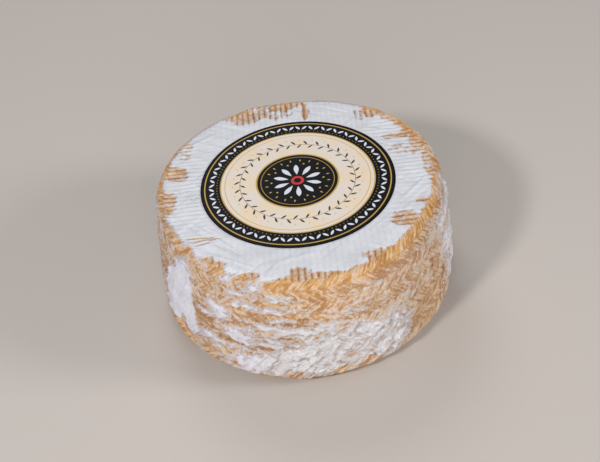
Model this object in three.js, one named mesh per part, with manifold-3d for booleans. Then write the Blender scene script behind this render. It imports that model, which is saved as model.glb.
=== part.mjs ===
// A wheel of cured sheep cheese with a round paper label.
// The side carries the herringbone imprint of the plaited grass belt it was pressed in, the top the
// grooves of the press board, and smears of lard fill both in places.
// Millimetres, +Z up. The origin lies under the wheel's middle, on the surface it stands on.
// The front is -Y and the right is +X. A bearing is in degrees from the front towards the right.
import * as THREE from 'three';
import Module from 'manifold-3d';
import { mergeVertices } from 'three/addons/utils/BufferGeometryUtils.js';

// The wheel
const HEIGHT = 86.4;
const TOP_RADIUS = 95.6;
const BOTTOM_RADIUS = 101;
const BULGE = 2; // how far the side swells at mid height
const TOP_EDGE = 6.7; // radii of the rounded edges
const BOTTOM_EDGE = 7.7;
const EDGE_STEPS = 3; // rings of faces round an edge

// How far the outline strays from a circle: cosine and sine of one, two and three times the angle
const TOP_STRAY = [-0.3, 0, -0.7, -0.1, 0.3, 1.75];
const BOTTOM_STRAY = [-1, -0.1, 0.5, -0.4, 0.4, 0.2];
const BULGE_STRAY = [0.65, -0.4]; // of the swelling, once round

// The belt's imprint: rows of slanting strands, each row leaning the other way
const BELT_LOW = 4.2;
const BELT_HIGH = 82.2;
const BELT_ROWS = 8;
const STRANDS = 104;
const STRAND_LEAN = 45; // degrees from upright
const STRAND_CREST = 0.6; // above the plain skin at the middle of a row
const STRAND_END = -0.15; // where a strand dips under the next row
const STRAND_CREASE = -0.65;

// The press board's imprint: four sectors of straight grooves that deepen towards the rim
const GROOVE_PITCH = 4;
const GROOVES_BESIDE = 15; // on each side of a sector's middle one
const GROOVE_START = 72; // distance from the middle
const GROOVE_REACH = 106;
const GROOVE_DEPTH = 1.3; // at the reach
const GROOVE_HALF_ANGLE = 42; // degrees between a flank and the upright
const GROOVE_HEAD = 1.5; // how far a cutter stands above the top
const SECTOR_GAP = 1.5; // between a groove's inner end and the diagonal

// Smears of lard on the side: bearing and height of the middle, half width, half height, how far the
// long axis leans to the right, and the thickness over the bottom of the creases
const SMEARS = [
  { bearing: -57, z: 43, wide: 15, high: 36, lean: 22, thick: 1.9 },
  { bearing: 8, z: 27, wide: 38, high: 19, lean: -10, thick: 1.8 },
  { bearing: -20, z: 13, wide: 22, high: 10, lean: 0, thick: 2.2 },
  { bearing: -16, z: 75, wide: 22, high: 4, lean: 0, thick: 1.5 },
  { bearing: 78, z: 50, wide: 20, high: 34, lean: 0, thick: 1.5 },
  { bearing: 118, z: 30, wide: 26, high: 20, lean: 15, thick: 1.9 },
  { bearing: 160, z: 62, wide: 34, high: 15, lean: -8, thick: 1.7 },
  { bearing: 205, z: 26, wide: 30, high: 17, lean: 0, thick: 1.9 },
  { bearing: 248, z: 52, wide: 16, high: 28, lean: -18, thick: 1.7 },
];

// The label
const LABEL_RADIUS = 65;
const LABEL_THICKNESS = 0.4;
const LABEL_GAP = 0.3; // to the top of the wheel
const LABEL_SIDES = 90;

const TURN = 2 * Math.PI;
const BELT_ROW = (BELT_HIGH - BELT_LOW) / BELT_ROWS;

const rind = new THREE.MeshStandardMaterial({ color: 0xdcc3a1, roughness: 0.6, metalness: 0 });
const paper = new THREE.MeshStandardMaterial({ color: 0x2b2a2b, roughness: 0.45, metalness: 0 });

const radians = THREE.MathUtils.degToRad;
const mix = THREE.MathUtils.lerp;

function stray(terms, angle) {
  let sum = 0;
  for (let term = 0; term < terms.length; term += 2) {
    const times = term / 2 + 1;
    sum += terms[term] * Math.cos(times * angle) + terms[term + 1] * Math.sin(times * angle);
  }
  return sum;
}

// Distance from the axis to the plain skin, as if both edges were sharp
function sharpRadius(angle, z) {
  const top = TOP_RADIUS + stray(TOP_STRAY, angle);
  const bottom = BOTTOM_RADIUS + stray(BOTTOM_STRAY, angle);
  const share = z / HEIGHT;
  const swell = 4 * share * (1 - share) * (BULGE + stray(BULGE_STRAY, angle));
  return mix(bottom, top, share) + swell;
}

// What an edge rounded to that radius takes off, at a depth below the flat end
function edgeLoss(radius, depth) {
  const above = Math.min(Math.max(radius - depth, 0), radius);
  return radius - Math.sqrt(radius * radius - above * above);
}

function skinRadius(angle, z) {
  return sharpRadius(angle, z) - edgeLoss(TOP_EDGE, HEIGHT - z) - edgeLoss(BOTTOM_EDGE, z);
}

// Height of the lard over the plain skin: no higher than the creases where there is none
function lardLevel(angle, z) {
  let thick = 0;
  for (const smear of SMEARS) {
    const around = angle - radians(smear.bearing - 90);
    const across = TOP_RADIUS * Math.atan2(Math.sin(around), Math.cos(around));
    const lean = radians(smear.lean);
    const up = z - smear.z;
    const u = (across * Math.cos(lean) - up * Math.sin(lean)) / smear.wide;
    const v = (across * Math.sin(lean) + up * Math.cos(lean)) / smear.high;
    thick = Math.max(thick, smear.thick * Math.exp(-((u * u + v * v) ** 2)));
  }
  return STRAND_CREASE + thick;
}

function wheelSolid() {
  const positions = [];
  const indices = [];

  function ring(count, turnBy, place) {
    const first = positions.length / 3;
    for (let column = 0; column < count; column += 1) {
      const angle = (TURN * column) / count + turnBy;
      const { radius, z } = place(angle, column);
      positions.push(radius * Math.cos(angle), radius * Math.sin(angle), z);
    }
    return (column) => first + (column % count);
  }

  function plainRing(z) {
    return ring(STRANDS, 0, (angle) => ({ radius: skinRadius(angle, z), z }));
  }

  function joinAlike(low, high, count) {
    for (let column = 0; column < count; column += 1) {
      indices.push(low(column), low(column + 1), high(column + 1));
      indices.push(low(column), high(column + 1), high(column));
    }
  }

  // A ring with one point for each strand to one with two, and the other way up
  function joinToDouble(plain, double, doubleIsAbove) {
    for (let strand = 0; strand < STRANDS; strand += 1) {
      const [a, b] = [plain(strand), plain(strand + 1)];
      const [c, d, e] = [double(2 * strand), double(2 * strand + 1), double(2 * strand + 2)];
      const faces = [[a, b, d], [a, d, c], [b, e, d]];
      for (const face of faces) {
        indices.push(...(doubleIsAbove ? face : face.reverse()));
      }
    }
  }

  function beltRing(step) {
    const z = BELT_LOW + (step / 2) * BELT_ROW;
    const slant = (BELT_ROW * Math.tan(radians(STRAND_LEAN))) / BOTTOM_RADIUS;
    const zigzag = 1 - Math.abs((step / 2) % 2 - 1);
    const crest = step % 2 ? STRAND_CREST : STRAND_END;
    return ring(2 * STRANDS, slant * zigzag, (angle, column) => {
      const relief = column % 2 ? STRAND_CREASE : crest;
      return { radius: skinRadius(angle, z) + Math.max(relief, lardLevel(angle, z)), z };
    });
  }

  function closeEnd(edge, z, facingUp) {
    const middle = positions.length / 3;
    positions.push(0, 0, z);
    for (let column = 0; column < STRANDS; column += 1) {
      const face = [middle, edge(column), edge(column + 1)];
      indices.push(...(facingUp ? face : face.reverse()));
    }
  }

  // Rings round an edge, from the flat end to the belt
  function edgeRings(radius, beltDepth, heightAt) {
    const last = Math.acos(1 - beltDepth / radius);
    const rings = [];
    for (let step = 0; step < EDGE_STEPS; step += 1) {
      const turned = (last * step) / EDGE_STEPS;
      rings.push(plainRing(heightAt(radius * (1 - Math.cos(turned)))));
    }
    return rings;
  }

  const lower = edgeRings(BOTTOM_EDGE, BELT_LOW, (depth) => depth);
  const upper = edgeRings(TOP_EDGE, HEIGHT - BELT_HIGH, (depth) => HEIGHT - depth);
  const belt = [];
  for (let step = 0; step <= 2 * BELT_ROWS; step += 1) {
    belt.push(beltRing(step));
  }

  closeEnd(lower[0], 0, false);
  closeEnd(upper[0], HEIGHT, true);
  for (let step = 1; step < EDGE_STEPS; step += 1) {
    joinAlike(lower[step - 1], lower[step], STRANDS);
    joinAlike(upper[step], upper[step - 1], STRANDS);
  }
  joinToDouble(lower.at(-1), belt[0], true);
  joinToDouble(upper.at(-1), belt.at(-1), false);
  for (let step = 1; step < belt.length; step += 1) {
    joinAlike(belt[step - 1], belt[step], 2 * STRANDS);
  }

  const geometry = new THREE.BufferGeometry();
  geometry.setAttribute('position', new THREE.Float32BufferAttribute(positions, 3));
  geometry.setIndex(indices);
  return geometry;
}

// One groove's cutter, a wedge along +X at the distance y from the middle, whose keel sinks outwards
function grooveCutter(y) {
  const start = Math.max(Math.sqrt(GROOVE_START ** 2 - y * y), Math.abs(y) + SECTOR_GAP);
  const halfWidth = GROOVE_HEAD * Math.tan(radians(GROOVE_HALF_ANGLE));
  const section = new THREE.Shape([
    new THREE.Vector2(0, 0),
    new THREE.Vector2(halfWidth, GROOVE_HEAD),
    new THREE.Vector2(-halfWidth, GROOVE_HEAD),
  ]);
  const fall = Math.atan2(GROOVE_DEPTH, GROOVE_REACH - GROOVE_START);
  const cutter = new THREE.ExtrudeGeometry(section, {
    depth: GROOVE_REACH - start,
    bevelEnabled: false,
  });
  // The section's up becomes +Z and the extrusion +X, tipped down by the fall
  const frame = new THREE.Matrix4().makeBasis(
    new THREE.Vector3(0, 1, 0),
    new THREE.Vector3(0, 0, 1),
    new THREE.Vector3(1, 0, -Math.tan(fall)),
  );
  cutter.applyMatrix4(frame);
  cutter.translate(start, y, HEIGHT);
  return cutter;
}

function grooveCutters() {
  const cutters = [];
  for (let sector = 0; sector < 4; sector += 1) {
    for (let step = -GROOVES_BESIDE; step <= GROOVES_BESIDE; step += 1) {
      const cutter = grooveCutter(step * GROOVE_PITCH);
      cutters.push(cutter.rotateZ((sector * TURN) / 4));
    }
  }
  return cutters;
}

const wasm = await Module();
wasm.setup();

function toSolid(geometry) {
  const bare = geometry.clone();
  bare.deleteAttribute('normal');
  bare.deleteAttribute('uv');
  const merged = mergeVertices(bare);
  return new wasm.Manifold(new wasm.Mesh({
    numProp: 3,
    vertProperties: new Float32Array(merged.attributes.position.array),
    triVerts: new Uint32Array(merged.index.array),
  }));
}

function toGeometry(solid) {
  const mesh = solid.getMesh();
  const geometry = new THREE.BufferGeometry();
  geometry.setAttribute('position', new THREE.BufferAttribute(mesh.vertProperties, 3));
  geometry.setIndex(new THREE.BufferAttribute(mesh.triVerts, 1));
  geometry.computeVertexNormals();
  return geometry;
}

function cheeseWheel() {
  const grooves = wasm.Manifold.union(grooveCutters().map(toSolid));
  const wheel = new THREE.Mesh(toGeometry(toSolid(wheelSolid()).subtract(grooves)), rind);
  wheel.name = 'cheese_wheel';
  return wheel;
}

function label() {
  const disc = new THREE.CylinderGeometry(LABEL_RADIUS, LABEL_RADIUS, LABEL_THICKNESS, LABEL_SIDES);
  const mesh = new THREE.Mesh(disc, paper);
  mesh.name = 'label';
  mesh.rotation.x = Math.PI / 2;
  mesh.position.z = HEIGHT + LABEL_GAP + LABEL_THICKNESS / 2;
  return mesh;
}

const cheese = new THREE.Group();
cheese.add(cheeseWheel(), label());

export default cheese;
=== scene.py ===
"""A wheel of cured sheep cheese with a round paper label, on a pale floor.

The wheel replaces its solid with a fine mesh of the same form: a plain skin, the herringbone that a
plaited grass belt left round the side, the grooves of the press board on the two flat ends, and a coat
of lard that fills them. Lengths are in millimetres and become metres when a mesh is made. The front is
-Y and the right +X, and a bearing is in degrees from the front towards the right. A height on the side
is the way up along the skin, which goes on round the rounded edges.
"""
import itertools
import math
from collections import namedtuple

import bpy
import numpy as np
from mathutils import Matrix, Vector


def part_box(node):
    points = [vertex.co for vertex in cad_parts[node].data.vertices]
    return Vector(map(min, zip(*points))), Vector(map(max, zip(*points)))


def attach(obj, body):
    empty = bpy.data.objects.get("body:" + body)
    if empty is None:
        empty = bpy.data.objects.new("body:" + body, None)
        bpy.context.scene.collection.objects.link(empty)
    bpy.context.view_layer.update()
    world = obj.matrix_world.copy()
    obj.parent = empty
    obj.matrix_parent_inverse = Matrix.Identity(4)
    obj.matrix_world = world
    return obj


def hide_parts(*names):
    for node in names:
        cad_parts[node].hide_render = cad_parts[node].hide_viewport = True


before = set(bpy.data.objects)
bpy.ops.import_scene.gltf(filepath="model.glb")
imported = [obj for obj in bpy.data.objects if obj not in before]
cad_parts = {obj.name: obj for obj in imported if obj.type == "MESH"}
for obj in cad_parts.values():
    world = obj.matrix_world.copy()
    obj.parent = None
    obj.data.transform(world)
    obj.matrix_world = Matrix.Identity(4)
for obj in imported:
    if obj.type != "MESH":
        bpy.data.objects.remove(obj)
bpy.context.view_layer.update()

MM = 0.001
WHEEL_SEED, LABEL_SEED = 11, 3

# The wheel, as in the part's source
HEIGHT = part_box("cheese_wheel")[1].z / MM
TOP_RADIUS = 95.6
BOTTOM_RADIUS = 101
BULGE = 2
TOP_EDGE = 6.7
BOTTOM_EDGE = 7.7
# How far the outline strays from a circle: cosine and sine of one, two and three times the angle
TOP_STRAY = (-0.3, 0, -0.7, -0.1, 0.3, 1.75)
BOTTOM_STRAY = (-1, -0.1, 0.5, -0.4, 0.4, 0.2)
BULGE_STRAY = (0.65, -0.4)

# The belt's imprint
BELT_LOW = 4.2
BELT_HIGH = 82.2
BELT_ROWS = 8
BELT_ROW = (BELT_HIGH - BELT_LOW) / BELT_ROWS
BELT_WANDER = 1.3  # how far a row strays up or down
# The way up along the skin over which the side gives way to the top, for the relief and for the colours,
# and the same for the colours at the foot
RIM_LOW, RIM_HIGH = 87.5, 91.5
RIM_COLOUR_LOW, RIM_COLOUR_HIGH = RIM_LOW - 5, RIM_HIGH - 1
FOOT_COLOUR_LOW, FOOT_COLOUR_HIGH = -6, -1
STRANDS = 184
BLADES = 2  # blades of grass side by side in each strand
STRAND_LEAN = math.radians(45)
STRAND_CREST = 0.5
STRAND_CREASE = -0.85
WEAVE_STRETCH = 0.2  # the rind's fine marks are this much narrower than they are long

# The press board's imprint on the flat ends
GROOVE_PITCH = 4
GROOVE_HALF_WIDTH = 0.75
GROOVE_DEPTH = 0.8
GROOVE_FADE = 5  # over which the grooves of one sector end beside the next

# The mesh: columns round the wheel and how far apart its rings are
COLUMNS = 1400
RING_STEP = 0.48
HIDDEN_STEP = 6  # under the label
HIDDEN_FROM = 2  # that far in from the label's edge
UNDER_STEP = 2  # on the underside
MAP_GAP = 3  # between the pieces of the wheel as the bake's map lays it out

# The label, and how far the wheel's relief stays off it and off the floor
LABEL_LOW, LABEL_TOP = (corner.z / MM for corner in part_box("label"))
LABEL_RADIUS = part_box("label")[1].y / MM
LABEL_CLEAR = 0.05
FLOOR_CLEAR = 0.02

# The coat of lard is a number at each point: below -0.3 the rind is bare, up to 0.3 a film lies on it,
# and above that it is white. These are its plain values on the side and on the top, and its least there.
SIDE_COAT = -0.3
TOP_COAT = 1.3
TOP_COAT_LEAST = -0.5
WIPE_LEAN = 35  # how far the marks of wiping lean to the right on the side, in degrees
UPRIGHT_LINES = 280  # upright lines in the coat, round the wheel

# More or less of it in places on the side: bearing and height of the middle, half width, half height,
# how far the long axis leans to the right, and how much is added
Patch = namedtuple("Patch", "bearing height wide high lean amount")
PATCH_INNER, PATCH_OUTER = 0.7, 1.25  # where a patch begins to fall off and ends, of its half size
SIDE_PATCHES = (
    Patch(-62, 45, 13, 36, 20, 2.4),
    Patch(-54, 36, 8, 20, -6, 1.9),
    Patch(-42, 60, 20, 13, 0, 0.4),
    Patch(-17, 77, 21, 3.4, 0, 0.6),
    Patch(-32, 83, 5, 4, 20, 0.8),
    Patch(-20, 84, 6, 4, 0, 0.8),
    Patch(22, 84, 60, 8, 0, -0.5),
    Patch(12, 70, 15, 6, 0, -0.5),
    Patch(-28, 61, 14, 8, 0, -0.4),
    Patch(-56, 68, 9, 5, 30, 0.9),
    Patch(-20, 66, 18, 3, 0, 0.6),
    Patch(-43, 24, 12, 7, 0, 0.8),
    Patch(-28, 39, 10, 5, 0, 0.6),
    Patch(-22, 42, 34, 26, 0, 0.3),
    Patch(-20, 17, 20, 9, 0, 1.5),
    Patch(12, 28, 44, 19, -8, 1.25),
    Patch(3, 48, 24, 8, 0, 0.7),
    Patch(3, 62, 12, 9, 0, 0.35),
    Patch(30, 15, 17, 8, -20, 1.1),
    Patch(78, 52, 22, 46, 0, 1.0),
    Patch(104, 62, 26, 26, 0, 0.7),
    Patch(10, 2, 26, 3.5, 0, -1.5),
    Patch(118, 30, 26, 18, 15, 1.1),
    Patch(160, 62, 34, 13, -8, 1.0),
    Patch(205, 26, 30, 16, 0, 1.4),
    Patch(248, 52, 15, 27, -18, 1.2),
    Patch(-61, 8, 15, 10, 0, -2.4),
    Patch(-44, 10, 7, 9, 0, -0.9),
    Patch(-48, 40, 12, 6, -20, -0.5),
    Patch(-20, 46, 20, 4, 0, -0.3),
    Patch(50, 24, 20, 17, -20, -0.7),
    Patch(-88, 45, 22, 38, 0, 0.35),
    Patch(140, 20, 14, 14, 0, -0.4),
    Patch(185, 45, 24, 12, 0, -0.3),
)
# Where the coat lies on the rows instead of between them, and where it runs up and down
BRUSHED = Patch(-30, 50, 36, 26, 0, 1)
UPRIGHT = Patch(90, 45, 66, 90, 0, 1)
# Where the lard on the side is as cool a white as on the top
COOL = Patch(-50, 50, 54, 70, 0, 1)
# Where the lard lies smooth
SMOOTH = Patch(-59, 42, 17, 38, 12, 1)
# Where the plait is worn or filled, so that it hardly shows
WORN_PATCHES = (
    Patch(-22, 44, 36, 40, 0, 0.85),
    Patch(8, 66, 44, 20, -6, 0.75),
    Patch(-34, 80, 30, 14, 0, 0.7),
    Patch(14, 24, 36, 18, -8, 0.3),
    Patch(62, 45, 26, 40, 0, 0.35),
    Patch(-60, 42, 15, 36, 12, 0.6),
    Patch(205, 26, 30, 16, 0, 0.8),
    Patch(248, 52, 15, 27, -18, 0.8),
)
# The bare rind turns from beige to golden between these heights, and is more golden or less in places
GOLDEN_LOW, GOLDEN_HIGH = 75, 87
GOLDEN_PATCHES = (
    Patch(-8, 68, 44, 12, 0, 0.45),
    Patch(-61, 8, 18, 12, 0, 0.7),
    Patch(-44, 9, 8, 12, 0, 0.5),
    Patch(46, 60, 24, 22, 0, -0.25),
    Patch(48, 22, 22, 18, 0, 0.2),
    Patch(10, 5, 60, 7, 0, 0.5),
    Patch(150, 70, 60, 14, 0, 0.3),
    Patch(220, 12, 40, 12, 0, 0.4),
    Patch(-78, 66, 26, 24, 0, -0.5),
    Patch(82, 60, 26, 22, 0, -0.4),
    Patch(-36, 34, 36, 22, 0, -0.4),
    Patch(-43, 80, 14, 12, 0, -0.35),
)
# Where the painted shade in the creases is deepest, and the strands are painted darker too
DEEP_SHADE_PATCHES = (
    Patch(-18, 36, 36, 9, 0, 0.8),
    Patch(-14, 55, 34, 6, 0, 0.7),
    Patch(-48, 42, 16, 12, 0, 0.7),
    Patch(25, 54, 26, 6, 0, 0.3),
    Patch(-80, 45, 22, 40, 0, 0.3),
    Patch(72, 45, 24, 40, 0, 0.4),
    Patch(170, 40, 60, 14, 0, 0.4),
)
# How wide the rim is that the lard on the top leaves bare, round the wheel: its plain width, and in
# places the bearing, the half width in degrees and what is added there
RIM_WIDTH = 2.2
RIM_PLACES = (
    (122, 25, 7), (46, 34, 3.6), (180, 26, 2.4), (-104, 24, 1.8), (3, 18, 3.4), (-38, 7, 2.4),
    (-29, 4, -9), (-50, 5, -7), (-140, 16, -1.2), (-66, 8, 2),
)
# Bare places on the top: x and y of the middle, half width, half depth, and how bare
Spot = namedtuple("Spot", "x y wide deep amount")
TOP_SPOTS = (
    Spot(-31, 78, 13, 9, 1.9),
    Spot(-4, 86, 19, 5, 1.5),
    Spot(11, 77, 2.6, 9, 2.0),
    Spot(-8, 77, 10, 8, 0.9),
    Spot(56, 68, 5, 8, 1.9),
    Spot(49, 64, 5, 8, 0.9),
    Spot(70, 37, 9, 3.6, 1.9),
    Spot(84, 28, 7, 12, 1.4),
    Spot(74, 22, 10, 8, 0.9),
    Spot(89, 3, 5, 22, 1.5),
    Spot(90, -22, 5, 12, 1.7),
    Spot(83, -34, 8, 4, 2.2),
    Spot(66, -49, 11, 8, 2.0),
    Spot(42, -78, 9, 4.5, 1.5),
    Spot(-6, -85, 7, 5, 1.6),
    Spot(4, -91, 28, 4, 2.6),
    Spot(-37, -84, 7, 4, 2.2),
    Spot(-60, -73, 9, 11, 2.1),
    Spot(-73, -57, 4, 6, 2.0),
    Spot(-83, 22, 10, 8, 2.2),
    Spot(-88, -8, 7, 14, 1.6),
    Spot(-76, 50, 6, 14, 1.0),
    Spot(-70, 8, 12, 30, 0.35),
)
# Folds and scratches in the coat: from one point to another, height and half width. On the side the
# points are bearings and heights.
Fold = namedtuple("Fold", "x y to_x to_y height wide")
SCRATCH_HEIGHT = -0.7  # a fold lower than this also lays the rind bare
TOP_FOLDS = (
    Fold(-64, -46, -34, -76, 0.5, 2.6),
    Fold(-60, -52, -40, -62, -0.3, 2.0),
    Fold(-75, -44.5, -56, -46, -0.8, 0.65),
    Fold(-74, -48, -51, -47.5, -1.1, 0.75),
    Fold(-69, -52, -58, -50.5, -0.8, 0.6),
    Fold(-72, -30, -40, -64, 0.35, 0.9),
    Fold(-66, -40, -46, -64, -0.3, 0.8),
    Fold(-62, -36, -36, -60, 0.2, 0.7),
    Fold(-58, -62, -30, -80, 0.35, 0.8),
    Fold(10, 88, 11.5, 68, -0.8, 0.9),
    Fold(64, -32, 85, -10, 0.35, 1.3),
    Fold(68, -36, 86, -20, -0.3, 1.0),
    Fold(52, -56, 72, -34, 0.3, 1.2),
    Fold(67, -8, 72, -14, -0.5, 0.8),
    Fold(62, -20, 66, -26, -0.45, 0.8),
    Fold(55, 48, 72, 40, 0.4, 1.6),
    Fold(-70, 52, -52, 62, 0.3, 1.4),
    Fold(20, 84, 44, 70, 0.25, 1.4),
    Fold(-30, -78, 10, -70, 0.25, 1.8),
    Fold(-80, -26, -56, -60, 0.3, 1.6),
    Fold(-24, -84, -18, -76, 0.35, 1.2),
)
SIDE_FOLDS = (
    Fold(-19, 8, -16, 26, 1.0, 1.3),
    Fold(-16, 26, -8, 29, 0.9, 1.2),
    Fold(-12, 12, -9, 27, -0.5, 1.6),
    Fold(-70, 20, -58, 66, 0.5, 2.4),
    Fold(-60, 18, -54, 44, -0.4, 2.0),
    Fold(6, 12, 16, 44, 0.6, 1.6),
    Fold(22, 14, 30, 36, 0.6, 1.6),
    Fold(-6, 20, 2, 44, -0.4, 1.8),
    Fold(12, 22, 20, 40, -0.4, 1.5),
)


def smoothstep(value, low, high):
    share = np.clip((value - low) / (high - low), 0, 1)
    return share * share * (3 - 2 * share)


class Noise:
    """Smooth random values, from -1 to 1 and mostly within 0.6, the same for the same seed.

    Each use moves the points by a number of its own, so that no two follow each other.
    """

    SIZE = 1 << 16
    PRIMES = (73856093, 19349663, 83492791)
    LAYER_MOVE = 37.7  # keeps the layers of one use apart
    LAYER_GAIN = 1.6  # makes up for what averaging them takes away

    def __init__(self, seed):
        self.values = np.random.default_rng(seed).uniform(-1, 1, self.SIZE)

    def own(self, *numbers):
        """A value of its own for each set of whole numbers."""
        key = 0
        for number, prime in zip(numbers, self.PRIMES):
            key = key ^ (np.asarray(number).astype(np.int64) * prime)
        return self.values[key & (self.SIZE - 1)]

    def lattice(self, axes, around=None):
        """Blends the values at the whole numbers about each point; the first axis closes after around."""
        keys, weights = [], []
        for number, (axis, prime) in enumerate(zip(axes, self.PRIMES)):
            cell = np.floor(axis).astype(np.int64)
            part = axis - cell
            part = part * part * (3 - 2 * part)
            corners = [cell, cell + 1]
            if around and number == 0:
                corners = [corner % around for corner in corners]
            keys.append([corner * prime for corner in corners])
            weights.append([1 - part, part])
        total = 0
        for corner in itertools.product((0, 1), repeat=len(keys)):
            key, weight = 0, 1
            for axis, step in enumerate(corner):
                key = key ^ keys[axis][step]
                weight = weight * weights[axis][step]
            total = total + weight * self.values[key & (self.SIZE - 1)]
        return total

    def plain(self, points, size):
        """One layer, whose lumps are as far apart as size, which may differ for x, y and z."""
        return self.lattice((points / np.asarray(size, dtype=float)).T)

    def layered(self, points, size, layers):
        """Layers of which each is half as strong and half as coarse as the one before."""
        total, strength, whole = 0, 1, 0
        for layer in range(layers):
            moved = points + self.LAYER_MOVE * layer
            total = total + strength * self.plain(moved, np.asarray(size) / 2**layer)
            whole += strength
            strength /= 2
        return total / whole * self.LAYER_GAIN

    def round(self, turn, lumps, *others):
        """Values that close round the wheel, with that many lumps on the way."""
        return self.lattice((turn * lumps, *others), around=lumps)


# --- The wheel's plain skin ---


def stray(terms, angle):
    """What an outline adds to its plain radius, from its list of cosines and sines."""
    total = np.zeros_like(angle)
    for times, (cosine, sine) in enumerate(zip(terms[::2], terms[1::2]), start=1):
        total += cosine * np.cos(times * angle) + sine * np.sin(times * angle)
    return total


def sharp_radius(angle, z):
    """Distance from the axis to the plain skin, as if both edges were sharp."""
    top = TOP_RADIUS + stray(TOP_STRAY, angle)
    bottom = BOTTOM_RADIUS + stray(BOTTOM_STRAY, angle)
    share = z / HEIGHT
    return bottom + (top - bottom) * share + 4 * share * (1 - share) * (BULGE + stray(BULGE_STRAY, angle))


def steps(length, step):
    """Shares from 0 up to but not including 1, at most step apart along that length."""
    return np.linspace(0, 1, math.ceil(length / step), endpoint=False)


LOW_ARC, HIGH_ARC = BOTTOM_EDGE * math.pi / 2, TOP_EDGE * math.pi / 2
TOP_WAY = HEIGHT - TOP_EDGE + HIGH_ARC  # the way up along the skin to where the top is flat


def skin_rings():
    """One row for each ring from the middle of the underside to the middle of the top.

    A row holds the share of the flat end's radius, the height, the direction of the skin there (outwards
    and up) and the way gone along the skin, which is the height on the upright part.
    """
    rings = []
    flat = BOTTOM_RADIUS - BOTTOM_EDGE
    for share in steps(flat, UNDER_STEP)[1:]:
        rings.append((share, 0, 0, -1, BOTTOM_EDGE - LOW_ARC - flat * (1 - share)))
    for share in steps(LOW_ARC, RING_STEP):
        turned = share * math.pi / 2
        z = BOTTOM_EDGE * (1 - math.cos(turned))
        rings.append((1, z, math.sin(turned), -math.cos(turned), BOTTOM_EDGE - LOW_ARC * (1 - share)))
    upright = HEIGHT - TOP_EDGE - BOTTOM_EDGE
    for share in steps(upright, RING_STEP):
        z = BOTTOM_EDGE + share * upright
        rings.append((1, z, 1, 0, z))
    for share in steps(HIGH_ARC, RING_STEP):
        turned = share * math.pi / 2
        z = HEIGHT - TOP_EDGE * (1 - math.sin(turned))
        rings.append((1, z, math.cos(turned), math.sin(turned), HEIGHT - TOP_EDGE + HIGH_ARC * share))
    flat = TOP_RADIUS - TOP_EDGE
    shown = flat - LABEL_RADIUS + HIDDEN_FROM
    for share in steps(shown, RING_STEP):
        rings.append((1 - share * shown / flat, HEIGHT, 0, 1, TOP_WAY + share * shown))
    hidden = flat - shown
    for share in steps(hidden, HIDDEN_STEP):
        rings.append(((1 - share) * hidden / flat, HEIGHT, 0, 1, TOP_WAY + shown + share * hidden))
    return np.array(rings)


class Skin:
    """The plain skin at every ring and column, as flat arrays."""

    def __init__(self):
        rings = skin_rings()
        self.rings = len(rings)
        angle = -math.pi + np.arange(COLUMNS) * 2 * math.pi / COLUMNS
        self.angle = np.tile(angle, self.rings)
        share, z, out, up, way = (np.repeat(column, COLUMNS) for column in rings.T)
        edge = np.where(z < HEIGHT / 2, BOTTOM_EDGE, TOP_EDGE)
        radius = (sharp_radius(self.angle, z) - edge) * share + edge * out
        self.z, self.up, self.way, self.radius = z, up, way, radius
        self.turn = self.angle / (2 * math.pi)
        self.bearing = np.degrees(self.angle) + 90
        self.points = np.stack([radius * np.cos(self.angle), radius * np.sin(self.angle), z], axis=1)
        self.normals = np.stack([out * np.cos(self.angle), out * np.sin(self.angle), up], axis=1)
        self.on_top = smoothstep(way, RIM_LOW, RIM_HIGH)
        self.on_base = 1 - smoothstep(way, 0, BELT_LOW)
        self.on_side = 1 - self.on_top - self.on_base
        self.on_flat_top = smoothstep(way, TOP_WAY - 3, TOP_WAY)

    def degrees_from(self, bearing):
        return (self.bearing - bearing + 180) % 360 - 180

    def along_side(self, bearing):
        """Millimetres to the right of a bearing."""
        return np.radians(self.degrees_from(bearing)) * TOP_RADIUS


# --- What is pressed into it ---


class Belt:
    """Where each point lies in the herringbone, and how high the rind stands there."""

    def __init__(self, skin, noise):
        wander = BELT_WANDER * noise.layered(skin.points, 55, 2)
        place = np.clip((skin.way - BELT_LOW + wander) / BELT_ROW, 0, BELT_ROWS + 0.99)
        self.row = np.floor(place)
        self.along = place - self.row
        up = np.where(self.row % 2 == 0, self.along, 1 - self.along)
        pitch = 2 * math.pi * BOTTOM_RADIUS / STRANDS
        squeeze = 0.3 * noise.plain(skin.points + 400, 9)
        self.turn = skin.turn + (squeeze - up * BELT_ROW * math.tan(STRAND_LEAN) / pitch) / STRANDS
        strand = np.floor(self.turn * STRANDS)
        across = 2 * (self.turn * STRANDS - strand) - 1
        blade = np.floor(self.turn * STRANDS * BLADES)
        blade_across = 2 * (self.turn * STRANDS * BLADES - blade) - 1
        self.own = noise.own(self.row, strand % STRANDS)
        self.blade_own = noise.own(self.row + 50, blade % (STRANDS * BLADES))
        self.junction = np.abs(2 * self.along - 1) ** 5
        body = 0.65 * np.sqrt(np.clip(1 - np.abs(across) ** 2.2, 0, 1)) + 0.35 * np.sqrt(1 - blade_across**2)
        self.crest = body * (1 - 0.8 * self.junction)
        strength = 0.8 + 0.8 * noise.layered(skin.points + 800, 18, 2)
        high = STRAND_CREST * (1 + 0.7 * self.own + 0.5 * self.blade_own + 0.6 * self.streaks(noise, 5))
        self.relief = (STRAND_CREASE + (high - STRAND_CREASE) * self.crest) * strength

    def streaks(self, noise, length, per_strand=1):
        """Values that run along the strands for that many millimetres."""
        along = self.along * BELT_ROW / math.cos(STRAND_LEAN) / length
        return noise.round(self.turn, STRANDS * per_strand, along, self.row)

    def weave(self, skin):
        """Places for the material's fine marks, which follow the strands."""
        angle = 2 * math.pi * self.turn
        x, y = BOTTOM_RADIUS * np.cos(angle), BOTTOM_RADIUS * np.sin(angle)
        return np.stack([x, y, skin.way * WEAVE_STRETCH], axis=1)


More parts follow.
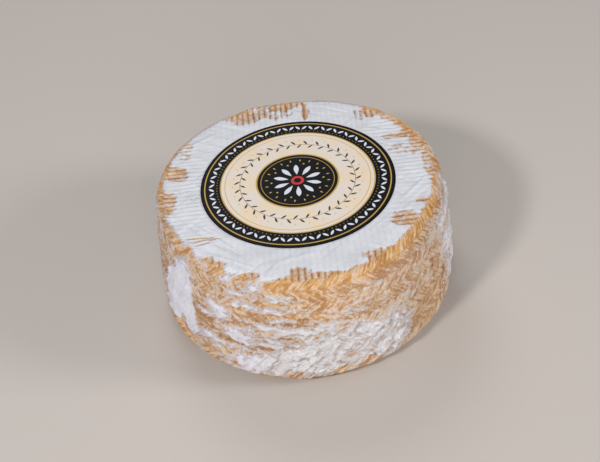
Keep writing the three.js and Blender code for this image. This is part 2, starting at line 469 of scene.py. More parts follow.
def groove_relief(skin, noise):
    """The press board's grooves: along X right and left of the middle, along Y before and behind it.

    Gives the height over the plain skin and how far inside a groove each point is.
    """
    x, y = skin.points[:, 0], skin.points[:, 1]
    groove = 0
    for across, other in ((x, y), (y, x)):
        wavy = across + 0.5 * noise.plain(skin.points, 14) + 0.3 * noise.plain(skin.points + 40, 4)
        off = np.abs((wavy / GROOVE_PITCH) % 1 - 0.5) * GROOVE_PITCH
        here = smoothstep(np.abs(other) - np.abs(across), 0, GROOVE_FADE)
        groove = groove + np.exp(-((off / GROOVE_HALF_WIDTH) ** 2)) * here
    groove = groove * (skin.on_flat_top + skin.on_base)
    uneven = 0.75 + 0.35 * noise.plain(skin.points + 90, 11) + 0.4 * noise.plain(skin.points + 95, 4)
    return -GROOVE_DEPTH * uneven * groove, groove


# --- The coat of lard ---


def patch_share(skin, patch, ragged=0):
    """How far inside a patch each point is: 1 within it, falling to 0 about its edge."""
    across, up = skin.along_side(patch.bearing), skin.way - patch.height
    lean = math.radians(patch.lean)
    u = (across * math.cos(lean) - up * math.sin(lean)) / patch.wide
    v = (across * math.sin(lean) + up * math.cos(lean)) / patch.high
    return 1 - smoothstep(np.hypot(u, v) + ragged, PATCH_INNER, PATCH_OUTER)


def patched(skin, patches, ragged=0):
    return sum(patch.amount * patch_share(skin, patch, ragged) for patch in patches)


def fold_share(x, y, fold):
    """1 on the fold's line, falling to 0 beside it and at its ends."""
    dx, dy = fold.to_x - fold.x, fold.to_y - fold.y
    along = np.clip(((x - fold.x) * dx + (y - fold.y) * dy) / (dx * dx + dy * dy), 0, 1)
    off = np.hypot(x - fold.x - along * dx, y - fold.y - along * dy)
    return np.exp(-((off / fold.wide) ** 2)) * np.sqrt(4 * along * (1 - along))


def side_folds(skin):
    total = 0
    for fold in SIDE_FOLDS:
        middle = (fold.x + fold.to_x) / 2
        x, to_x = (math.radians(bearing - middle) * TOP_RADIUS for bearing in (fold.x, fold.to_x))
        flat = fold._replace(x=x, to_x=to_x)
        total = total + fold.height * fold_share(skin.along_side(middle), skin.way, flat)
    return total


def slanted(skin, noise):
    """Marks that lean to the right, as the lard was wiped on."""
    lean = math.tan(math.radians(WIPE_LEAN)) / (2 * math.pi * BOTTOM_RADIUS)
    turn = skin.turn - skin.way * lean
    return 0.7 * noise.round(turn, 170, skin.way / 10) + 0.5 * noise.round(turn, 340, skin.way / 5, 3)


class Side:
    """The side of the wheel: the belt's imprint and the coat of lard over it."""

    def __init__(self, skin, noise):
        self.skin, self.noise = skin, noise
        self.belt = Belt(skin, noise)
        self.streaks = 0.3 * self.belt.streaks(noise, 6) + 0.7 * self.belt.streaks(noise, 3, 2)
        self.lines = noise.round(skin.turn, UPRIGHT_LINES, skin.way / 16)
        self.wiped = slanted(skin, noise)
        self.worn = np.clip(patched(skin, WORN_PATCHES), 0, 1)
        self.deep_shade = patched(skin, DEEP_SHADE_PATCHES)
        self.brushed = patch_share(skin, BRUSHED)
        self.upright = patch_share(skin, UPRIGHT)
        self.smooth = patch_share(skin, SMOOTH)
        ragged = 0.3 * noise.layered(skin.points + 200, (12, 12, 7), 3)
        level = SIDE_COAT + 0.35 * noise.layered(skin.points, (24, 24, 10), 2)
        level = level + patched(skin, SIDE_PATCHES, ragged)
        self.thick = smoothstep(level, 0.4, 1.2)
        self.coat = self.broken(level)

    def broken(self, level):
        """The coat, broken up by the strands under it and by the way it was wiped on."""
        belt, worn, thick = self.belt, self.worn, self.thick
        flecks = 0.4 * belt.streaks(self.noise, 5) + 0.4 * belt.streaks(self.noise, 3, 2)
        coat = level + flecks * (1 - 0.7 * worn) + self.bands() + self.specks()
        coat = coat + 0.5 * self.lines * self.upright
        coat = coat + 0.9 * self.wiped * thick * (1 - 0.4 * self.smooth)
        woven = 0.2 * belt.own + 0.2 * belt.blade_own + 0.4 * (0.5 - belt.crest)
        return coat + woven * (1 - 0.8 * worn) - 0.9 * self.brushed * (belt.junction - 0.3)

    def bands(self):
        """Bands that run round the wheel."""
        turn, way = self.skin.turn, self.skin.way
        narrow = 0.5 * self.noise.round(turn, 72, way / 2.3)
        narrow = narrow + 0.4 * self.noise.round(turn, 200, way / 1.6, 5)
        wide = self.noise.round(turn, 40, way / 4, 9)
        bands = narrow * (0.6 + 0.7 * self.brushed) + 1.15 * self.brushed * wide
        return bands * (1 - 0.7 * self.upright) * (1 - 0.85 * self.thick)

    def specks(self):
        specks = self.noise.layered(self.skin.points + 700, (3.2, 3.2, 1.8), 2)
        return specks * (0.4 + 0.6 * self.worn - 0.4 * self.brushed) * (1 - 0.6 * self.thick)

    def surface(self):
        """Height over the plain skin."""
        points, noise, belt, worn = self.skin.points, self.noise, self.belt, self.worn
        white = smoothstep(self.coat, 0.0, 0.8)
        plait = belt.relief * (1 - 0.5 * white) * (1 - 0.6 * worn)
        lumps = 0.9 * noise.layered(points + 300, (8, 8, 8), 3)
        lumps = lumps + 0.3 * belt.streaks(noise, 8) + 1.5 * self.wiped
        crumbs = 0.5 * np.abs(noise.layered(points + 350, 4, 2))
        laid = white * (0.3 + self.thick * (0.35 + (lumps + crumbs) * (1 - 0.8 * self.smooth)))
        scuffs = 0.7 * noise.layered(points + 250, (3.4, 3.4, 2), 2)
        rough = worn * (0.9 * smoothstep(self.coat, -0.2, 1.1) + scuffs - 0.3)
        return plait + laid + rough * (1 - self.smooth) + side_folds(self.skin) * self.thick

    def crease_shade(self):
        """How much shade is painted at each point: between strands, in pits, along upright lines and in the
        lows of wiping marks.
        """
        worn, deep_shade = self.worn, self.deep_shade
        crease_shade = smoothstep(0.8 - self.belt.crest, 0, 0.8)
        crease_shade = crease_shade * np.clip(0.4 + 0.8 * self.streaks + deep_shade, 0, 1.2)
        pits = smoothstep(self.noise.layered(self.skin.points + 450, (4, 4, 2), 2), -0.1, 0.5)
        lines = smoothstep(self.lines, 0.1, 0.6) * self.upright
        crease_shade = crease_shade * (1 - 0.6 * worn) + worn * deep_shade * pits + 0.7 * lines
        crease_shade = crease_shade + 1.2 * self.thick * smoothstep(-self.wiped, 0.0, 0.5)
        return crease_shade * (1 - self.smooth)

    def tone(self):
        """How light the strands are: 0.5 is plain. They are darker where the painted shade is deepest."""
        tone = 0.5 + 0.2 * self.belt.own + 0.3 * self.belt.blade_own + 0.6 * self.streaks
        tone = tone + 0.3 * self.noise.layered(self.skin.points + 750, 2, 2)
        return tone - 0.35 * self.deep_shade


def golden_share(skin):
    golden = 0.05 + 0.85 * smoothstep(skin.way, GOLDEN_LOW, GOLDEN_HIGH) + patched(skin, GOLDEN_PATCHES)
    golden = golden * (1 - 0.7 * smoothstep(skin.way, TOP_WAY + 1, TOP_WAY + 5))
    return np.clip(golden, 0, 1)


def rim_width(skin):
    width = RIM_WIDTH
    for bearing, half, more in RIM_PLACES:
        off = np.abs(skin.degrees_from(bearing))
        width = width + more * (1 - smoothstep(off, 0.3 * half, 1.3 * half))
    return width


def top_coat(skin, noise, groove):
    """The coat on the top, which is whole but for the rim, the bare places and the scratches."""
    x, y = skin.points[:, 0], skin.points[:, 1]
    ragged = noise.layered(skin.points + 500, 6, 3)
    inside = sharp_radius(skin.angle, HEIGHT) - rim_width(skin) - skin.radius
    inside = inside + 1.2 * ragged + noise.layered(skin.points + 550, 2.2, 2)
    coat = TOP_COAT - 2.4 * (1 - smoothstep(inside, -1.6, 1.8))
    for spot in TOP_SPOTS:
        off = np.hypot((x - spot.x) / spot.wide, (y - spot.y) / spot.deep) + 0.3 * ragged
        coat = coat - spot.amount * (1 - smoothstep(off, 0.65, 1.2))
    open_share = 1 - smoothstep(coat, 0.4, TOP_COAT)
    coat = np.maximum(coat, TOP_COAT_LEAST)
    filled = 0.45 * skin.on_flat_top - 0.9 * groove
    coat = coat + open_share * (filled + 0.7 * noise.layered(skin.points + 650, 2.4, 3))
    for fold in TOP_FOLDS:
        if fold.height < SCRATCH_HEIGHT:
            coat = coat - 2.2 * fold_share(x, y, fold)
    return coat


def under_coat(skin, noise, groove):
    """The coat on the underside, which is patchy all over."""
    return 0.1 + 0.9 * noise.layered(skin.points + 820, 12, 3) - 0.5 * groove


def strokes(points, noise, lean, seed):
    """Long narrow marks of the hand or knife that spread the coat."""
    along, across = math.cos(math.radians(lean)), math.sin(math.radians(lean))
    turned = points @ np.array([[along, -across, 0], [across, along, 0], [0, 0, 1]])
    return noise.layered(turned + seed, (22, 2.6, 12), 2)


def top_surface(skin, noise, board, coat):
    """Height over the plain skin, where board is the height of the grooves."""
    x, y = skin.points[:, 0], skin.points[:, 1]
    white = smoothstep(coat, 0.0, 0.9)
    which = smoothstep(noise.layered(skin.points + 900, 40, 2), -0.15, 0.15)
    marks = which * strokes(skin.points, noise, 42, 60) + (1 - which) * strokes(skin.points, noise, -28, 130)
    folds = sum(fold.height * fold_share(x, y, fold) for fold in TOP_FOLDS)
    soft = 0.4 * noise.layered(skin.points + 600, 15, 2) + 0.2 * marks
    shows = 0.1 + 0.2 * noise.layered(skin.points + 950, 30, 2) + 0.2 * smoothstep(np.abs(x), 45, 75)
    shows = shows + 0.5 * np.exp(-((x - 68) ** 2 + (y - 45) ** 2) / 18**2)
    return board * (1 - (1 - shows) * white) + white * (0.42 + soft + 1.5 * folds)


def wheel_surface(skin):
    """Height over the plain skin, the shares that the rind's material reads, and places for its marks."""
    noise = Noise(WHEEL_SEED)
    side = Side(skin, noise)
    board, groove = groove_relief(skin, noise)
    cover = top_coat(skin, noise, groove)
    top = top_surface(skin, noise, board, cover)
    height = side.surface() * skin.on_side + top * skin.on_top + board * skin.on_base

    over = smoothstep(skin.way, RIM_COLOUR_LOW, RIM_COLOUR_HIGH)
    under = 1 - smoothstep(skin.way, FOOT_COLOUR_LOW, FOOT_COLOUR_HIGH)
    cover = np.where(under > 0, under_coat(skin, noise, groove), cover)
    ends = over + under
    shares = {
        "coat": side.coat * (1 - ends) + cover * ends,
        # painted shade: in the creases on the side and in the board's grooves on the ends
        "crease_shade": side.crease_shade() * (1 - ends) + groove * ends,
        "tone": np.clip(0.5 + (side.tone() - 0.5) * (1 - 0.6 * ends - 0.4 * under), 0, 1),
        "golden": golden_share(skin),
        "top": skin.on_top + under,
        "cool": np.maximum(over, patch_share(skin, COOL)),
        "worn": side.worn,
    }
    return height, shares, side.belt.weave(skin)


def clear_height(skin, height):
    """Keeps the underside above the floor and the top below the label."""
    under_label = (skin.up > 0.99) & (skin.radius < LABEL_RADIUS + 1)
    height = np.where(under_label, np.minimum(height, LABEL_LOW - HEIGHT - LABEL_CLEAR), height)
    at_floor = skin.z - height * (skin.up < 0) < FLOOR_CLEAR
    return np.where(at_floor, np.minimum(height, 0), height)


class ClosedGrid:
    """The faces of a grid that closes round, with a point at each end: quads, then triangles.

    For each corner of each face it holds the vertex, the face's first ring and column, and the corner's
    own. The end points are in ring -1 and in the ring after the last, and a column that has come round
    again counts on.
    """

    def __init__(self, rings, columns):
        ring, column = np.divmod(np.arange((rings - 1) * columns), columns)
        around = np.arange(columns)
        parts = (
            (ring, column, (0, 0, 1, 1), (0, 1, 1, 0)),
            (np.full(columns, -1), around, (1, 1, 0), (1, 0, 0)),
            (np.full(columns, rings - 1), around, (0, 0, 1), (0, 1, 0)),
        )
        self.sizes = np.concatenate([np.full(len(ring), len(up)) for ring, _, up, _ in parts])
        self.face_ring = np.concatenate([np.repeat(ring, len(up)) for ring, _, up, _ in parts])
        self.face_column = np.concatenate([np.repeat(column, len(up)) for _, column, up, _ in parts])
        self.ring = np.concatenate([(ring[:, None] + up).ravel() for ring, _, up, _ in parts])
        self.column = np.concatenate([(column[:, None] + along).ravel() for _, column, _, along in parts])
        inner = self.ring * columns + self.column % columns
        ends = rings * columns + (self.ring > 0)
        self.vertex = np.where((self.ring < 0) | (self.ring == rings), ends, inner)


def make_mesh(name, points, grid):
    """A smooth mesh from points in millimetres, of which the last two are the grid's ends."""
    mesh = bpy.data.meshes.new(name)
    mesh.vertices.add(len(points))
    mesh.vertices.foreach_set("co", (np.asarray(points) * MM).astype(np.float32).ravel())
    mesh.loops.add(len(grid.vertex))
    mesh.loops.foreach_set("vertex_index", grid.vertex.astype(np.int32))
    mesh.polygons.add(len(grid.sizes))
    starts = np.concatenate([[0], np.cumsum(grid.sizes)[:-1]])
    mesh.polygons.foreach_set("loop_start", starts.astype(np.int32))
    mesh.update(calc_edges=True)
    mesh.polygons.foreach_set("use_smooth", np.ones(len(grid.sizes), dtype=bool))
    mesh.validate()
    return mesh


def add_share(mesh, name, values):
    attribute = mesh.attributes.new(name, "FLOAT", "POINT")
    attribute.data.foreach_set("value", np.asarray(values, dtype=np.float32))


def add_vector(mesh, name, vectors):
    attribute = mesh.attributes.new(name, "FLOAT_VECTOR", "POINT")
    attribute.data.foreach_set("vector", np.asarray(vectors, dtype=np.float32).ravel())


def add_bake_map(mesh, places):
    """The map that the materials are baked through: a place from 0 to 1 for each corner of each face."""
    layer = mesh.uv_layers.new(name="OFBake", do_init=False)
    layer.uv.foreach_set("vector", np.asarray(places, dtype=np.float32).ravel())


def disc_places(radius, angle, middle, mirror=1):
    right = middle[0] + mirror * radius * np.cos(angle)
    up = middle[1] + radius * np.sin(angle)
    return np.stack([right, up], axis=1)


def add_piece(name, mesh, material, node):
    piece = bpy.data.objects.new(name, mesh)
    bpy.context.collection.objects.link(piece)
    mesh.materials.append(material)
    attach(piece, "root")
    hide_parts(node)


def wheel_places(skin, grid):
    """The wheel laid out flat: its side in two strips, then the underside and the top as discs."""
    low = BOTTOM_EDGE - LOW_ARC
    strip = TOP_WAY - low
    under, over = BOTTOM_RADIUS - BOTTOM_EDGE, TOP_RADIUS - TOP_EDGE
    size = 2 * (strip + under) + 4 * MAP_GAP
    ways = np.concatenate([skin.way[::COLUMNS], [TOP_WAY + over, low - under]])
    way, face_way = ways[grid.ring], ways[grid.face_ring, None]
    angle = 2 * math.pi * grid.column / COLUMNS - math.pi
    second = grid.face_column >= COLUMNS // 2
    along = (grid.column - second * (COLUMNS // 2)) * 2 * math.pi * BOTTOM_RADIUS / COLUMNS
    up = way - low + second * (strip + MAP_GAP)
    side = MAP_GAP + np.stack([along, up], axis=1)
    middle = size - MAP_GAP - under
    low_end = disc_places(under + way - low, angle, (MAP_GAP + under, middle), mirror=-1)
    high_end = disc_places(over + TOP_WAY - way, angle, (size - MAP_GAP - over, middle))
    return np.where(face_way < low, low_end, np.where(face_way >= TOP_WAY, high_end, side)) / size


def make_wheel():
    skin = Skin()
    height, shares, weave = wheel_surface(skin)
    height = clear_height(skin, height)
    points = skin.points + skin.normals * height[:, None]
    ends = np.array([[0, 0, 0], [0, 0, HEIGHT]])
    grid = ClosedGrid(skin.rings, COLUMNS)
    mesh = make_mesh("cheese_wheel_skin", np.concatenate([points, ends]), grid)
    for name, values in shares.items():
        add_share(mesh, name, np.append(values, values[[0, -1]]))
    add_vector(mesh, "weave", np.concatenate([weave, ends]) * MM)
    add_bake_map(mesh, wheel_places(skin, grid))
    add_piece("cheese_wheel_skin", mesh, Rind().build(), "cheese_wheel")


# --- Materials ---


def colour(red, green, blue):
    """A colour given as it shows on screen, from 0 to 255, as the shaders take it."""
    def linear(value):
        value /= 255
        return value / 12.92 if value <= 0.04045 else ((value + 0.055) / 1.055) ** 2.4
    return (linear(red), linear(green), linear(blue), 1)


class Value:
    """A number in a material; arithmetic on it adds Math nodes."""

    def __init__(self, graph, socket):
        self.graph, self.socket = graph, socket

    def math(self, operation, *others):
        return self.graph.math(operation, self, *others)

    def __add__(self, other):
        return self.math("ADD", other)

    def __sub__(self, other):
        return self.math("SUBTRACT", other)

    def __rsub__(self, other):
        return self.graph.math("SUBTRACT", other, self)

    def __mul__(self, other):
        return self.math("MULTIPLY", other)

    __radd__, __rmul__ = __add__, __mul__

    def __abs__(self):
        return self.math("ABSOLUTE")

    def most(self, other):
        return self.math("MAXIMUM", other)


class Graph:
    """Builds a material's nodes. Colours are sockets and numbers are Values."""

    def __init__(self, name):
        self.material = bpy.data.materials.new(name)
        self.material.use_nodes = True
        self.nodes, self.links = self.material.node_tree.nodes, self.material.node_tree.links
        self.shader = self.nodes["Principled BSDF"]

    def put(self, socket, value):
        if isinstance(value, Value):
            value = value.socket
        if isinstance(value, bpy.types.NodeSocket):
            self.links.new(value, socket)
        else:
            socket.default_value = value

    def math(self, operation, *terms):
        node = self.nodes.new("ShaderNodeMath")
        node.operation = operation
        for socket, term in zip(node.inputs, terms):
            self.put(socket, term)
        return Value(self, node.outputs[0])

    def share(self, name):
        node = self.nodes.new("ShaderNodeAttribute")
        node.attribute_name = name
        return Value(self, node.outputs["Fac"])

    def vector(self, name):
        node = self.nodes.new("ShaderNodeAttribute")
        node.attribute_name = name
        return node.outputs["Vector"]

    def place(self):
        return self.nodes.new("ShaderNodeTexCoord").outputs["Object"]

    def noise(self, vector, size, detail, roughness=0.5):
        """Random shares about 0.5, with lumps as far apart as size in millimetres."""
        node = self.nodes.new("ShaderNodeTexNoise")
        self.put(node.inputs["Vector"], vector)
        node.inputs["Scale"].default_value = 1 / (size * MM)
        node.inputs["Detail"].default_value = detail
        node.inputs["Roughness"].default_value = roughness
        return Value(self, node.outputs["Fac"])

    def smooth(self, value, low, high):
        node = self.nodes.new("ShaderNodeMapRange")
        node.interpolation_type = "SMOOTHSTEP"
        self.put(node.inputs["Value"], value)
        self.put(node.inputs["From Min"], low)
        self.put(node.inputs["From Max"], high)
        return Value(self, node.outputs["Result"])

    def mix(self, share, first, second):
        node = self.nodes.new("ShaderNodeMix")
        node.data_type = "RGBA"
        inputs = {socket.identifier: socket for socket in node.inputs}
        self.put(inputs["Factor_Float"], share)
        self.put(inputs["A_Color"], first)
        self.put(inputs["B_Color"], second)
        return next(socket for socket in node.outputs if socket.identifier == "Result_Color")

    def bump(self, height, distance):
        node = self.nodes.new("ShaderNodeBump")
        self.put(node.inputs["Height"], height)
        node.inputs["Distance"].default_value = distance * MM
        return node.outputs[0]


class Rind(Graph):
    """The wheel's material: bare rind, a film of lard and white lard, with painted shade in the creases, by
    the shares in the mesh.
    """

    SHARES = ("coat", "crease_shade", "tone", "golden", "top", "cool", "worn")

    def __init__(self):
        super().__init__("rind")
        shares = (self.share(name) for name in self.SHARES)
        self.coat, self.crease_shade, self.tone, self.golden, self.top, self.cool, self.worn = shares
        place = self.place()
        self.grain = self.noise(place, 1.0, 3, 0.6)
        self.fleck = self.noise(place, 2.4, 3, 0.6)
        self.fine = self.noise(place, 0.6, 3, 0.65)
        self.wide = self.smooth(self.noise(place, 14, 3, 0.55), 0.35, 0.65)
        self.pits = 1 - self.smooth(self.noise(place, 1.9, 2), 0.34, 0.42)
        self.crumbs = self.smooth(self.noise(place, 1.5, 1), 0.58, 0.66)
        woven = (self.noise(self.vector("weave"), 1.1, 3, 0.6) - 0.5) * (1 - self.worn * 0.75)
        rubbed = (self.noise(place, 1.7, 3, 0.65) - 0.5) * self.worn * 0.8
        self.mark = 0.5 + (woven + rubbed) * (1 - self.top)

    def blotched(self, first, second):
        """A colour that changes from one to the other in wide blotches."""
        return self.mix(self.wide, colour(*first), colour(*second))

    def bare_rind(self):
        beige = self.blotched((199, 159, 117), (214, 178, 138))
        ochre = self.blotched((216, 158, 84), (232, 182, 114))
        # The last colour on the next line is painted shade, the darkest, for the pits in the creases
        pale_strand, dark_strand, pit_shade_colour = colour(240, 216, 194), colour(164, 106, 74), colour(122, 78, 52)
        # Painted shade for the creases and grooves, lighter and browner on the ends than on the side
        crease_shade_colour = self.mix(self.top, colour(128, 80, 58), colour(158, 98, 62))
        rind = self.mix(self.smooth(self.golden + (self.fleck - 0.5) * 0.7, 0.15, 0.85), beige, ochre)
        tone = self.tone + (self.grain - 0.5) * 1.2 + (self.mark - 0.5) * 2.4
        rind = self.mix(self.smooth(tone, 0.45, 0.95) * 0.65, rind, pale_strand)
        rind = self.mix((1 - self.smooth(tone, 0.0, 0.5)) * 0.55, rind, dark_strand)
        # Painted shade laid over the rind in the creases and grooves, and deeper in the pits
        rind = self.mix(self.crease_shade * self.smooth(self.fleck, 0.25, 0.6) * 0.8, rind, crease_shade_colour)
        return self.mix(self.pits * self.smooth(self.crease_shade, 0.1, 0.6) * 0.8, rind, pit_shade_colour)

    def white_lard(self):
        warm = self.blotched((215, 211, 212), (224, 221, 223))
        cool_side = self.blotched((215, 213, 223), (224, 222, 231))
        cool_top = self.blotched((205, 206, 210), (213, 214, 219))
        white = self.mix(self.cool, warm, self.mix(self.top, cool_side, cool_top))
        # Painted shade on the lard in its creases, grooves and the lows of its wiping marks: warm on the
        # side, bluish on the top
        shade = self.mix(self.top, colour(188, 168, 160), colour(186, 188, 202))
        return self.mix(self.crease_shade * self.smooth(self.fleck, 0.3, 0.7) * 0.5, white, shade)

    def build(self):
        edge = self.coat + (self.fleck - 0.5) * 1.2 + (self.grain - 0.5) * 1.2 + (self.mark - 0.5) * 1.6
        film = self.blotched((226, 204, 190), (228, 212, 202))
        covered = self.smooth(edge, 0.0, 0.85)
        crumb = self.crumbs * self.smooth(self.coat, -0.9, 0.3) * (1 - covered)
        covered = covered.most(crumb * 0.85)
        base = self.mix(self.smooth(edge, -0.6, 0.3) * 0.75, self.bare_rind(), film)
        inputs = self.shader.inputs
        self.put(inputs["Base Color"], self.mix(covered, base, self.white_lard()))
        self.put(inputs["Roughness"], 0.66 - covered * 0.12 + (self.grain - 0.5) * 0.15)
        inputs["Specular IOR Level"].default_value = 0.3
        inputs["Subsurface Weight"].default_value = 0.1
        inputs["Subsurface Radius"].default_value = (1.0, 0.75, 0.5)
        inputs["Subsurface Scale"].default_value = 0.001
        height = self.smooth(edge, 0.1, 0.9) * 0.5 + crumb * 0.4 + (self.mark - 0.5) * 1.6
        small = (self.grain - 0.5) * 0.9 + (self.fine - 0.5) * 0.8
        height = height + small * (1 - covered * (self.cool * 0.4 + 0.4))
        self.put(inputs["Normal"], self.bump(height, 1))
        return self.material


class Print:
    """The label's printing, worked out from the distance and angle from its middle."""

    SOFT = 0.1  # half of how far an edge of the print blurs

    def __init__(self, graph):
        self.graph = graph
        separate = graph.nodes.new("ShaderNodeSeparateXYZ")
        graph.put(separate.inputs[0], graph.place())
        x, y = (Value(graph, separate.outputs[axis]) * (1 / MM) for axis in (0, 1))
        self.radius = (x * x + y * y).math("SQRT")
        self.turn = y.math("ARCTAN2", x) * (0.5 / math.pi)

    def below(self, value, limit):
        return 1 - self.graph.smooth(value, limit - self.SOFT, limit + self.SOFT)

    def ring(self, low, high):
        return self.below(self.radius, high) * (1 - self.below(self.radius, low))

    def disc(self, high):
        return self.below(self.radius, high)

    def local(self, count, middle, offset=0, lean=0):
        """Place in the nearest of count repeats round a circle: along and across, turned by lean."""
        part = (self.turn * count + offset).math("FRACT") - 0.5
        across = part * (2 * math.pi * middle / count)
        out = self.radius - middle
        lean = math.radians(lean)
        along = out * math.cos(lean) + across * math.sin(lean)
        return along, across * math.cos(lean) - out * math.sin(lean)

    def dots(self, count, middle, size, offset=0):
        along, across = self.local(count, middle, offset)
        return self.below((along * along + across * across).math("SQRT"), size)

    def diamonds(self, count, middle, long, wide):
        along, across = self.local(count, middle)
        return self.below(abs(along) * (wide / long) + abs(across), wide)

    def leaves(self, count, middle, long, wide, offset=0, lean=0):
        along, across = self.local(count, middle, offset, lean)
        along = along * (1 / long)
        return self.below(abs(across) + along * along * wide, wide)


def label_material():
    graph = Graph("label_paper")
    prints = Print(graph)
    black, gold, pale = colour(14, 15, 18), colour(190, 156, 84), colour(214, 216, 224)
    ink, red = colour(70, 60, 54), colour(196, 58, 62)
    layers = [
        # The ring of small leaves on the cream field
        (prints.ring(38.4, 38.7), ink),
        (prints.leaves(30, 40.6, 2.6, 0.75, lean=38), ink),
        (prints.leaves(30, 36.6, 2.4, 0.7, offset=0.5, lean=-38), ink),
        (prints.dots(30, 43.4, 0.45, offset=0.5), gold),
        (prints.ring(48.4, 48.8), gold),
        # The black band, out to the edge
        (prints.ring(51.9, 70), black),
        (prints.ring(51.1, 51.9), gold),
        (prints.ring(61.7, 62.5), gold),
        (prints.leaves(40, 57.6, 2.4, 0.85, lean=42), pale),
        (prints.leaves(40, 57.6, 2.4, 0.85, offset=0.5, lean=-42), pale),
        (prints.dots(120, 54.0, 0.3), gold),
        # The black middle with its flower
        (prints.disc(28.0), gold),
        (prints.disc(26.9), black),
        (prints.ring(24.3, 24.7), gold),
        (prints.leaves(10, 11.2, 5.2, 1.6), pale),
        (prints.dots(10, 17.4, 0.7, offset=0.5), gold),
        (prints.diamonds(20, 20.8, 1.3, 0.6), gold),
        (prints.ring(2.4, 4.4), red),
    ]
    clouds = graph.smooth(graph.noise(graph.place(), 12, 3), 0.42, 0.66)
    paper = graph.mix(clouds, colour(220, 209, 197), colour(226, 206, 178))
    for share, shade in layers:
        paper = graph.mix(share, paper, shade)
    graph.put(graph.shader.inputs["Base Color"], paper)
    graph.shader.inputs["Roughness"].default_value = 0.45
    graph.shader.inputs["Specular IOR Level"].default_value = 0.06
    return graph.material


# --- The label ---

LABEL_COLUMNS = 360
LABEL_RINGS = 60
LABEL_CORNER = 0.12  # how far its edge is taken off
LABEL_GIVE = 0.1  # how far it rises and falls
# Where its map has the top and the underside, and how large
MAP_TOP, MAP_TOP_RADIUS = (0.5, 0.5), 0.49
MAP_UNDER, MAP_UNDER_RADIUS = (0.08, 0.08), 0.06


def label_places(rows, grid):
    """The label laid out flat: its top fills the map, with the underside and the edge small in a corner."""
    radius, z = np.array(rows).T
    way = radius[0] + np.append(0, np.cumsum(np.hypot(np.diff(radius), np.diff(z))))
    angle = 2 * math.pi * grid.column / LABEL_COLUMNS
    radius, way = (np.append(values, [0, 0])[grid.ring] for values in (radius, way))
    over = disc_places(MAP_TOP_RADIUS * radius / LABEL_RADIUS, angle, MAP_TOP)
    under = disc_places(MAP_UNDER_RADIUS * way / LABEL_RADIUS, angle, MAP_UNDER, mirror=-1)
    return np.where(grid.face_ring[:, None] >= LABEL_RINGS + 1, over, under)


def make_label():
    """A thin disc that rises and falls a little."""
    angle = np.arange(LABEL_COLUMNS) * 2 * math.pi / LABEL_COLUMNS
    shares = np.linspace(0, 1, LABEL_RINGS)[1:]
    shares[-1] -= LABEL_CORNER / LABEL_RADIUS
    rows = [(LABEL_RADIUS * share, LABEL_LOW) for share in shares]
    rows += [(LABEL_RADIUS, LABEL_LOW + LABEL_CORNER), (LABEL_RADIUS, LABEL_TOP - LABEL_CORNER)]
    rows += [(LABEL_RADIUS * share, LABEL_TOP) for share in shares[::-1]]
    noise = Noise(LABEL_SEED)
    points = []
    for radius, z in rows:
        flat = np.stack([radius * np.cos(angle), radius * np.sin(angle), np.zeros(LABEL_COLUMNS)], axis=1)
        give = LABEL_GIVE * noise.layered(flat, 22, 2) - LABEL_GIVE / 2
        points.append(flat + (z + give)[:, None] * (0, 0, 1))
    ends = np.array([[0, 0, LABEL_LOW], [0, 0, LABEL_TOP]])
    grid = ClosedGrid(len(rows), LABEL_COLUMNS)
    mesh = make_mesh("label_paper", np.concatenate(points + [ends]), grid)
    add_bake_map(mesh, label_places(rows, grid))
    add_piece("label_paper", mesh, label_material(), "label")


# --- The studio ---

PHOTO_WIDTH, PHOTO_HEIGHT = 600, 462
FOCAL_PIXELS = 1011
CAMERA_DISTANCE = 701
CAMERA_ELEVATION = math.radians(42.3)
CAMERA_ROLL = math.radians(-6.77)
MIDDLE_PIXEL = (303.2, 228.3)  # where the middle of the wheel shows in the photograph's frame
SKY_STRENGTH = 0.21
FLOOR_SIZE = 12  # metres


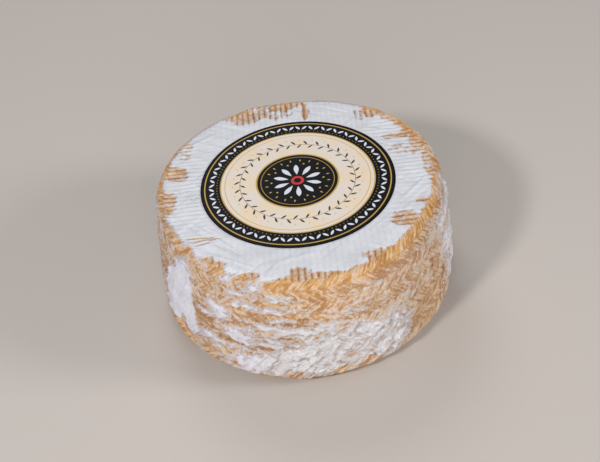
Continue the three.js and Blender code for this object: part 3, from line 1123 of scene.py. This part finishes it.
def make_camera():
    camera = bpy.data.objects.new("camera", bpy.data.cameras.new("camera"))
    bpy.context.collection.objects.link(camera)
    camera.data.sensor_width = 36
    camera.data.lens = FOCAL_PIXELS / PHOTO_WIDTH * camera.data.sensor_width
    forward = Vector((0, math.cos(CAMERA_ELEVATION), -math.sin(CAMERA_ELEVATION)))
    right = Vector((1, 0, 0))
    up = right.cross(forward)
    tilted_right = right * math.cos(CAMERA_ROLL) + up * math.sin(CAMERA_ROLL)
    tilted_up = up * math.cos(CAMERA_ROLL) - right * math.sin(CAMERA_ROLL)
    aside = (PHOTO_WIDTH / 2 - MIDDLE_PIXEL[0]) / FOCAL_PIXELS
    above = (MIDDLE_PIXEL[1] - PHOTO_HEIGHT / 2) / FOCAL_PIXELS
    aim = (forward + tilted_right * aside + tilted_up * above).normalized()
    right = aim.cross(tilted_up).normalized()
    up = right.cross(aim)
    place = Vector((0, 0, LABEL_TOP / 2)) - forward * CAMERA_DISTANCE
    turn = Matrix((right, up, -aim)).transposed().to_4x4()
    camera.matrix_world = Matrix.Translation(place * MM) @ turn
    bpy.context.scene.camera = camera


def make_light(name, place, size, power):
    """A round soft light, in metres and watts, that shines on the wheel."""
    light = bpy.data.objects.new(name, bpy.data.lights.new(name, "AREA"))
    light.data.shape = "DISK"
    light.data.size = size
    light.data.energy = power
    light.location = place
    aim = Vector((0, 0, HEIGHT / 2 * MM)) - Vector(place)
    light.rotation_mode = "QUATERNION"
    light.rotation_quaternion = aim.to_track_quat("-Z", "Y")
    bpy.context.collection.objects.link(light)


def make_studio():
    world = bpy.data.worlds.new("studio")
    world.use_nodes = True
    sky = world.node_tree.nodes["Background"].inputs
    sky["Color"].default_value = colour(240, 242, 248)
    sky["Strength"].default_value = SKY_STRENGTH
    bpy.context.scene.world = world
    make_light("back_key", (-0.2, 0.9, 1.1), 0.7, 5.5)
    make_light("left_key", (-0.8, -0.8, 1.0), 0.2, 11.5)
    make_light("right_key", (1.3, -0.35, 0.7), 0.4, 11)
    make_light("front_fill", (0, -1.6, 0.4), 1.0, 11)

    bpy.ops.mesh.primitive_plane_add(size=FLOOR_SIZE)
    floor = bpy.context.object
    floor.name = "floor"
    graph = Graph("floor")
    graph.shader.inputs["Base Color"].default_value = colour(190, 182, 175)
    graph.shader.inputs["Roughness"].default_value = 0.7
    floor.data.materials.append(graph.material)
    bpy.context.scene.view_settings.view_transform = "Standard"


make_camera()
make_studio()
make_wheel()
make_label()
